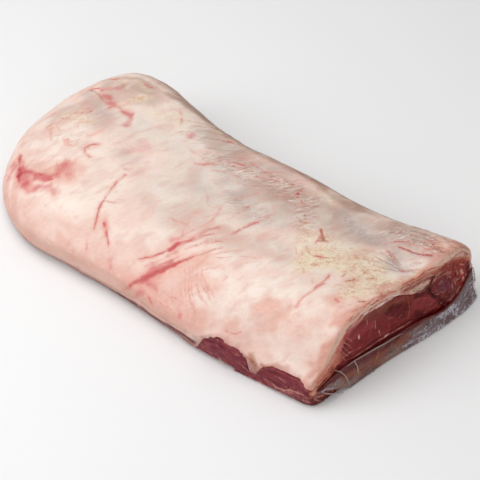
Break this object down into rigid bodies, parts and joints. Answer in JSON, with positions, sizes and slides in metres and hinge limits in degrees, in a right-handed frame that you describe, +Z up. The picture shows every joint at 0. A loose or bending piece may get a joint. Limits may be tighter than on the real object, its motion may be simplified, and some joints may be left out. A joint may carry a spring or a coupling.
{
  "type": "beef striploin",
  "caption": "Whole boneless beef striploin lying fat side up in tight clear film: one end rounded, the other cut across to show the lean, with a pocket of film in front of it.",
  "frame": {"origin": "middle of the bounding box, on the surface that the meat lies on", "axes": "+X along the loin from its rounded end to its cut end, +Y from the thin flank side to the thick chine side, +Z up out of the fat"},
  "size_m": [0.4894, 0.2334, 0.0807],
  "materials": {
    "fat": "pale pink and cream fat under tight clear film, soft gloss",
    "lean": "dark red lean under tight clear film, wet gloss",
    "side_lean": "dark red lean with fat flecks, wet gloss",
    "strip_lean": "red lean streaked with pale sinew, wet gloss",
    "film": "wrinkled clear film over dark juice"
  },
  "bodies": {
    "root": {"fat_cap": "fat", "eye_of_loin": "lean", "side_muscle": "side_lean", "tail_strip": "strip_lean", "end_film": "film"}
  },
  "joints": []
}
